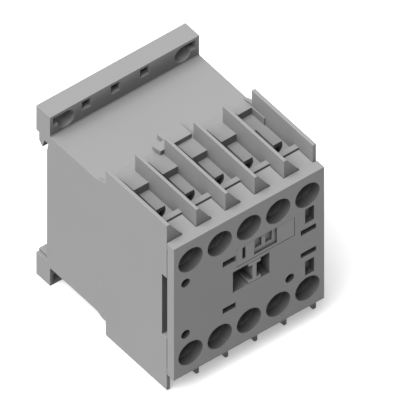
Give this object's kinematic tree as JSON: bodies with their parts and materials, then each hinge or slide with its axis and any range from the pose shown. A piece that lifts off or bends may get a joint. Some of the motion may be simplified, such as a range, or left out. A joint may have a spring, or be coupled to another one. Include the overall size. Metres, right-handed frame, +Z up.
{
  "type": "miniature contactor",
  "caption": "Compact electromagnetic contactor with screw terminals above and below, barrier fins, a flat front plate, fixing ears and a rail foot.",
  "frame": {"origin": "centre of the four fixing holes, on the back plane of the ears", "axes": "+X to the right seen from the front, +Y to the back (the mounting side), +Z up"},
  "size_m": [0.045, 0.053, 0.0562],
  "materials": {
    "housing": "moulded grey plastic, fine satin grain",
    "cover": "moulded grey plastic, fine satin grain",
    "label": "smooth moulded plastic",
    "latch": "moulded plastic",
    "carrier": "lighter grey moulded plastic",
    "bobbin": "black glass-filled plastic",
    "core_steel": "laminated electrical steel",
    "winding": "enamelled copper wire",
    "copper": "rolled copper strip",
    "silver": "silver contact tip",
    "spring_steel": "drawn spring wire",
    "screw_steel": "zinc-plated steel",
    "pad_rubber": "soft rubber"
  },
  "bodies": {
    "root": {"base_housing": "housing", "contact_housing": "housing", "front_cover": "cover", "label_plate": "label", "latch_spring": "spring_steel", "return_springs": "spring_steel", "yoke": "core_steel", "shading_rings": "copper", "shock_pads": "pad_rubber", "coil_bobbin": "bobbin", "coil_winding": "winding", "coil_lead_top": "copper", "coil_lead_bottom": "copper", "fixed_contacts_top": "copper", "fixed_contacts_bottom": "copper", "fixed_contact_tips": "silver"},
    "carrier": {"contact_carrier": "carrier", "armature": "core_steel", "armature_pin": "screw_steel", "contact_spring_1": "spring_steel", "contact_spring_2": "spring_steel", "contact_spring_3": "spring_steel", "contact_spring_4": "spring_steel"},
    "latch": {"rail_latch": "latch"},
    "bridge_1": {"contact_bridge_1": "copper", "bridge_tips_1": "silver"},
    "bridge_2": {"contact_bridge_2": "copper", "bridge_tips_2": "silver"},
    "bridge_3": {"contact_bridge_3": "copper", "bridge_tips_3": "silver"},
    "bridge_4": {"contact_bridge_4": "copper", "bridge_tips_4": "silver"},
    "terminal_top_1": {"terminal_screw_top_1": "screw_steel", "terminal_clamp_top_1": "screw_steel"},
    "terminal_top_2": {"terminal_screw_top_2": "screw_steel", "terminal_clamp_top_2": "screw_steel"},
    "terminal_top_3": {"terminal_screw_top_3": "screw_steel", "terminal_clamp_top_3": "screw_steel"},
    "terminal_top_4": {"terminal_screw_top_4": "screw_steel", "terminal_clamp_top_4": "screw_steel"},
    "terminal_top_5": {"terminal_screw_top_5": "screw_steel", "terminal_clamp_top_5": "screw_steel"},
    "terminal_bottom_1": {"terminal_screw_bottom_1": "screw_steel", "terminal_clamp_bottom_1": "screw_steel"},
    "terminal_bottom_2": {"terminal_screw_bottom_2": "screw_steel", "terminal_clamp_bottom_2": "screw_steel"},
    "terminal_bottom_3": {"terminal_screw_bottom_3": "screw_steel", "terminal_clamp_bottom_3": "screw_steel"},
    "terminal_bottom_4": {"terminal_screw_bottom_4": "screw_steel", "terminal_clamp_bottom_4": "screw_steel"},
    "terminal_bottom_5": {"terminal_screw_bottom_5": "screw_steel", "terminal_clamp_bottom_5": "screw_steel"}
  },
  "joints": [
    {"name": "carrier_slide", "type": "slide", "parent": "root", "child": "carrier", "axis": [0, 1, 0], "range_m": [0, 0.004], "stiffness_N_per_m": 400, "springref_m": -0.004, "deforming": ["return_springs"]},
    {"name": "latch_slide", "type": "slide", "parent": "root", "child": "latch", "axis": [0, 0, -1], "range_m": [0, 0.0022], "stiffness_N_per_m": 800, "springref_m": -0.002, "deforming": ["latch_spring"]},
    {"name": "bridge_1_lag", "type": "slide", "parent": "carrier", "child": "bridge_1", "axis": [0, -1, 0], "range_m": [0, 0.0016], "deforming": ["contact_spring_1"]},
    {"name": "bridge_2_lag", "type": "slide", "parent": "carrier", "child": "bridge_2", "axis": [0, -1, 0], "range_m": [0, 0.0016], "deforming": ["contact_spring_2"]},
    {"name": "bridge_3_lag", "type": "slide", "parent": "carrier", "child": "bridge_3", "axis": [0, -1, 0], "range_m": [0, 0.0016], "deforming": ["contact_spring_3"]},
    {"name": "bridge_4_lag", "type": "slide", "parent": "carrier", "child": "bridge_4", "axis": [0, -1, 0], "range_m": [0, 0.0016], "deforming": ["contact_spring_4"]},
    {"name": "terminal_top_1_open", "type": "slide", "parent": "root", "child": "terminal_top_1", "axis": [0, -1, 0], "range_m": [0, 0.003]},
    {"name": "terminal_top_2_open", "type": "slide", "parent": "root", "child": "terminal_top_2", "axis": [0, -1, 0], "range_m": [0, 0.003]},
    {"name": "terminal_top_3_open", "type": "slide", "parent": "root", "child": "terminal_top_3", "axis": [0, -1, 0], "range_m": [0, 0.003]},
    {"name": "terminal_top_4_open", "type": "slide", "parent": "root", "child": "terminal_top_4", "axis": [0, -1, 0], "range_m": [0, 0.003]},
    {"name": "terminal_top_5_open", "type": "slide", "parent": "root", "child": "terminal_top_5", "axis": [0, -1, 0], "range_m": [0, 0.003]},
    {"name": "terminal_bottom_1_open", "type": "slide", "parent": "root", "child": "terminal_bottom_1", "axis": [0, -1, 0], "range_m": [0, 0.003]},
    {"name": "terminal_bottom_2_open", "type": "slide", "parent": "root", "child": "terminal_bottom_2", "axis": [0, -1, 0], "range_m": [0, 0.003]},
    {"name": "terminal_bottom_3_open", "type": "slide", "parent": "root", "child": "terminal_bottom_3", "axis": [0, -1, 0], "range_m": [0, 0.003]},
    {"name": "terminal_bottom_4_open", "type": "slide", "parent": "root", "child": "terminal_bottom_4", "axis": [0, -1, 0], "range_m": [0, 0.003]},
    {"name": "terminal_bottom_5_open", "type": "slide", "parent": "root", "child": "terminal_bottom_5", "axis": [0, -1, 0], "range_m": [0, 0.003]}
  ],
  "couplings": [
    {"joint": "bridge_1_lag", "follows": "carrier_slide", "ratio": 0.4},
    {"joint": "bridge_2_lag", "follows": "carrier_slide", "ratio": 0.4},
    {"joint": "bridge_3_lag", "follows": "carrier_slide", "ratio": 0.4},
    {"joint": "bridge_4_lag", "follows": "carrier_slide", "ratio": 0.4}
  ]
}
